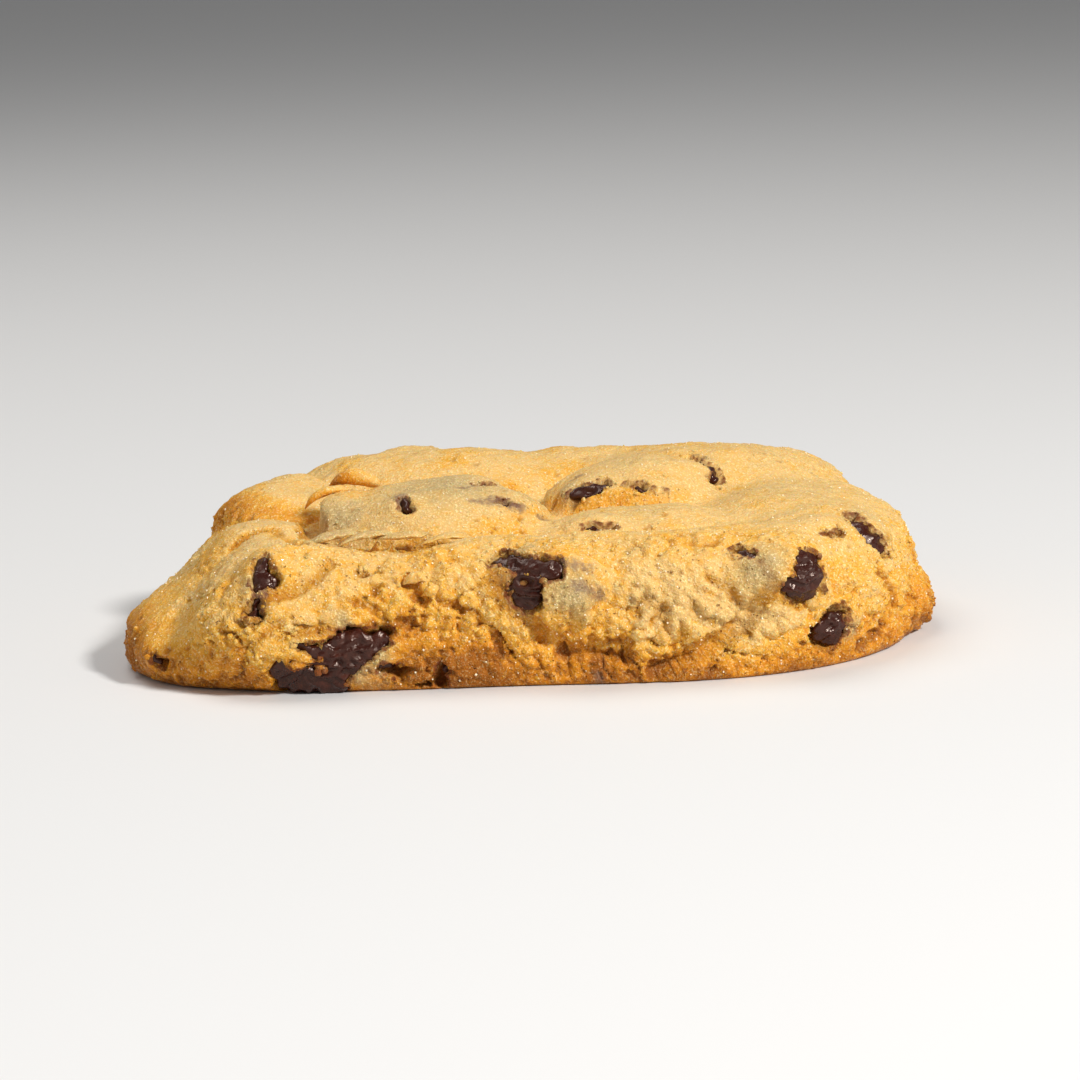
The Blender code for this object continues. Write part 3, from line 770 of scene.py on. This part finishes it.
for number, (name, (middle, half_sizes, turn)) in enumerate(CHUNKS.items()):
    points, faces = ball(CHUNK_DETAIL.get(name, 5))
    turn_matrix = np.array(Euler([math.radians(degrees) for degrees in turn]).to_matrix())
    surface = (points * half_sizes) @ turn_matrix.T + middle
    outward = (points / half_sizes) @ turn_matrix.T
    outward /= np.linalg.norm(outward, axis=1)[:, None]
    ridge = np.abs(waves_at(surface * (1, 1, 1.6), 1.7, 20 + number))
    fine = waves_at(surface, 0.7, 50 + number)
    opening = ways_distance(surface, TEARS)
    covered = smooth_step(0.1, 0.9, opening)
    risen = smooth_step(0.4, -0.2, opening) * np.clip(-dough_distance(surface), 0, 1.5)
    if name in HIDDEN:
        covered, risen = 0.25, 0.0
    sink = 0.08 + 0.95 * ridge + 0.20 * fine + 0.75 * covered - risen
    sink = np.minimum(sink, 0.55 * min(half_sizes)) - 0.9 * smooth_step(2.4, 0.4, surface[:, 2])
    surface = surface - outward * sink[:, None]
    surface[:, 2] = np.maximum(surface[:, 2], 0.08)
    piece = new_mesh(name.replace("ch", "chocolate_ch", 1), surface, faces.tolist())
    piece.data.materials.append(chocolate.material)
    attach(piece, "root")
    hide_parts(name)

# Flakes and curls of dough that stand off the crust: thin, ragged and browned at their pointed ends. They
# grew out of the same dough, so each is rooted in it. Each bends along a way of three points:
# (pointed end, bend, blunt end, half width, half thickness, roughness, browning, grey)
FLAKES = (
    ((-23.9, -9.2, 18.9), (-21.6, -9.2, 21.2), (-17.6, -9.6, 19.2), 1.7, 1.3, 0.35, 0.8, 0.0),
    ((-26.6, -12.4, 16.8), (-25.4, -12.4, 19.5), (-21.4, -10.5, 18.8), 1.0, 0.65, 0.5, 0.6, 0.0),
    ((-26.2, -29.2, 15.2), (-23.6, -30.2, 16.9), (-20.0, -27.6, 16.6), 2.1, 0.48, 0.9, 0.0, 0.65),
    ((-22.4, -30.4, 15.3), (-19.0, -29.4, 17.2), (-15.8, -28.0, 16.2), 1.7, 0.42, 0.9, 0.0, 0.6),
    ((-18.2, -28.8, 15.9), (-14.6, -30.6, 16.6), (-11.6, -28.4, 16.2), 1.9, 0.45, 0.9, 0.05, 0.5),
    ((-13.4, -30.4, 15.0), (-9.4, -29.4, 16.8), (-6.6, -28.4, 15.6), 1.4, 0.38, 0.9, 0.1, 0.35),
    ((-14.6, -36.6, 12.0), (-13.2, -37.8, 13.3), (-11.8, -36.8, 12.6), 0.8, 0.7, 1.0, 0.15, 0.0),
    ((-12.6, -37.4, 10.6), (-11.3, -38.3, 11.8), (-10.2, -37.6, 11.6), 0.7, 0.7, 1.0, 0.15, 0.0),
    ((-16.8, -37.4, 9.8), (-15.4, -38.4, 11.0), (-14.0, -37.6, 10.4), 0.7, 0.8, 1.0, 0.2, 0.0),
)
flake_points, flake_faces, flake_browning, flake_film = [], [], [], []
points, faces = ball(4)
along = (points[:, :1] + 1) / 2
for number, (tip, bend, root, width, thickness, roughness, toasted, grey) in enumerate(FLAKES):
    way = along**2 * root + 2 * along * (1 - along) * bend + (1 - along) ** 2 * tip
    forward = Vector(root) - Vector(tip)
    side = forward.cross(Vector((0, 0, 1))).normalized()
    up = side.cross(forward).normalized()
    across = points[:, 1:2] * width * np.array(side) + points[:, 2:] * thickness * np.array(up)
    placed = way + across * along**0.4
    rough = 0.35 * waves_at(placed, 1.4, 80 + number) + 0.2 * waves_at(placed, 0.6, 90 + number)
    placed += across / max(width, thickness) * (roughness * rough)[:, None]
    placed[:, 2] += 0.4 * roughness * waves_at(placed, 0.9, 95 + number) * along[:, 0]
    flake_faces.append(faces + sum(len(done) for done in flake_points))
    flake_points.append(placed)
    flake_browning.append(toasted * smooth_step(1.0, 0.3, along[:, 0] + 0.15 * points[:, 2]) + 0.1)
    flake_film.append(np.full(len(points), grey))
flakes = new_mesh("dough_flakes", np.concatenate(flake_points), np.concatenate(flake_faces).tolist())
keep_values(flakes, browning=np.concatenate(flake_browning), film=np.concatenate(flake_film))
flakes.data.materials.append(dough.material)
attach(flakes, "root")

# Crumbs: grains of dough baked onto the crust, a few of them larger lumps and most of them fine. They lie
# thickest on the rough wall and round the tears. Each kind: (how many, fineness, least and greatest size,
# share on the top, share on the wall)
CRUMBS = ((320, 2, 0.16, 0.40, 0.0, 0.5), (7000, 1, 0.055, 0.15, 0.26, 0.74))

lot = np.random.default_rng(11)
square = crust_points[np.array(crust_faces[: -len(fan)])]
areas = np.linalg.norm(np.cross(square[:, 2] - square[:, 0], square[:, 3] - square[:, 1]), axis=1) / 2
room = np.bincount(np.ravel(crust_faces[: -len(fan)]), np.repeat(areas, 4), len(form)) / 4
crumb_points, crumb_faces, crumb_browning, crumb_film, crumb_smear = [], [], [], [], []
first = 0
for many, fineness, least, greatest, on_top, on_wall in CRUMBS:
    points, faces = ball(fineness)
    chance = on_top + on_wall * wall + 1.2 * smooth_step(1.2, 0.2, np.abs(tear)) + 0.5 * cleft
    chance *= room * (form[:, 2] > 0.5) * (bare < 0.4)
    for place in lot.choice(len(form), many, replace=False, p=chance / chance.sum()):
        size = lot.uniform(least, greatest)
        lump = points * lot.uniform(0.65, 1.35, 3) * size * lot.uniform(0.8, 1.2, (len(points), 1))
        crumb_faces.append(faces + first)
        first += len(points)
        crumb_points.append(lump + crust_points[place] - normals[place] * size * 0.2)
        crumb_browning.append(np.full(len(points), browning[place] + lot.uniform(-0.25, 0.1)))
        crumb_film.append(np.full(len(points), film[place]))
        crumb_smear.append(np.full(len(points), smear[place]))
crumbs = new_mesh("crumbs", np.concatenate(crumb_points), np.concatenate(crumb_faces).tolist())
keep_values(crumbs, browning=np.concatenate(crumb_browning), film=np.concatenate(crumb_film))
keep_values(crumbs, smear=np.concatenate(crumb_smear))
crumbs.data.materials.append(dough.material)
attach(crumbs, "root")

# Sugar: small clear crystals that did not melt in the oven. They are baked onto the surface of the dough at
# all angles, and glint.
GRAINS = 1400

sugar = Nodes("sugar")
sugar.set_inputs(
    sugar.shader,
    {"Base Color": colour(255, 240, 205), "Roughness": 0.12, "Specular IOR Level": 0.6},
)
chance = (0.6 + 0.4 * wall) * (form[:, 2] > 0.8) * (bare < 0.3)
chosen = lot.choice(len(form), GRAINS, replace=False, p=chance / chance.sum())
corners = np.array([(x, y, z) for x in (-1, 1) for y in (-1, 1) for z in (-1, 1)])
sides = np.array([(0, 1, 3, 2), (4, 6, 7, 5), (0, 4, 5, 1), (2, 3, 7, 6), (0, 2, 6, 4), (1, 5, 7, 3)])
sugar_points, sugar_faces = [], []
for number, place in enumerate(chosen):
    size = lot.uniform(0.035, 0.09)
    crystal = corners * size * lot.uniform(0.7, 1.2, 3)
    crystal = crystal @ np.array(Euler(lot.uniform(0, 6.3, 3)).to_matrix()).T
    sugar_points.append(crystal + crust_points[place] + normals[place] * size * 0.4)
    sugar_faces.append(sides + number * len(corners))
crystals = new_mesh("sugar_crystals", np.concatenate(sugar_points), np.concatenate(sugar_faces).tolist())
crystals.data.shade_flat()
crystals.data.materials.append(sugar.material)
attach(crystals, "root")

# The table: a plain pale floor under soft studio light. The main lamp stands high on the right of the
# camera, a wide one hangs above the back, and a weak one fills the shadows from the left.
bpy.ops.mesh.primitive_plane_add(size=6)
floor = bpy.context.object
floor.name = "floor"
paper = Nodes("pale floor")
paper.set_inputs(paper.shader, {"Base Color": (0.8, 0.8, 0.8, 1), "Roughness": 0.7})
floor.data.materials.append(paper.material)


def soft_lamp(name, place, size, power, tint):
    lamp = bpy.data.objects.new(name, bpy.data.lights.new(name, "AREA"))
    lamp.data.shape, lamp.data.size, lamp.data.energy, lamp.data.color = "DISK", size, power, tint
    lamp.location = place
    lamp.rotation_mode = "QUATERNION"
    lamp.rotation_quaternion = (Vector((0, 0, 0.01)) - lamp.location).to_track_quat("-Z", "Y")
    bpy.context.scene.collection.objects.link(lamp)


soft_lamp("main lamp", (0.48, -0.48, 0.52), 0.14, 6.8, (1, 0.98, 0.95))
soft_lamp("top lamp", (-0.25, 0.22, 0.75), 0.6, 2.6, (1, 0.98, 0.95))
soft_lamp("soft fill", (-0.60, -0.50, 0.35), 0.8, 0.6, (1, 0.98, 0.96))
world = bpy.data.worlds.new("studio")
bpy.context.scene.world = world
world.use_nodes = True
world.node_tree.nodes["Background"].inputs["Color"].default_value = (1, 1, 1, 1)
world.node_tree.nodes["Background"].inputs["Strength"].default_value = 0.20
bpy.context.scene.view_settings.view_transform = "Standard"
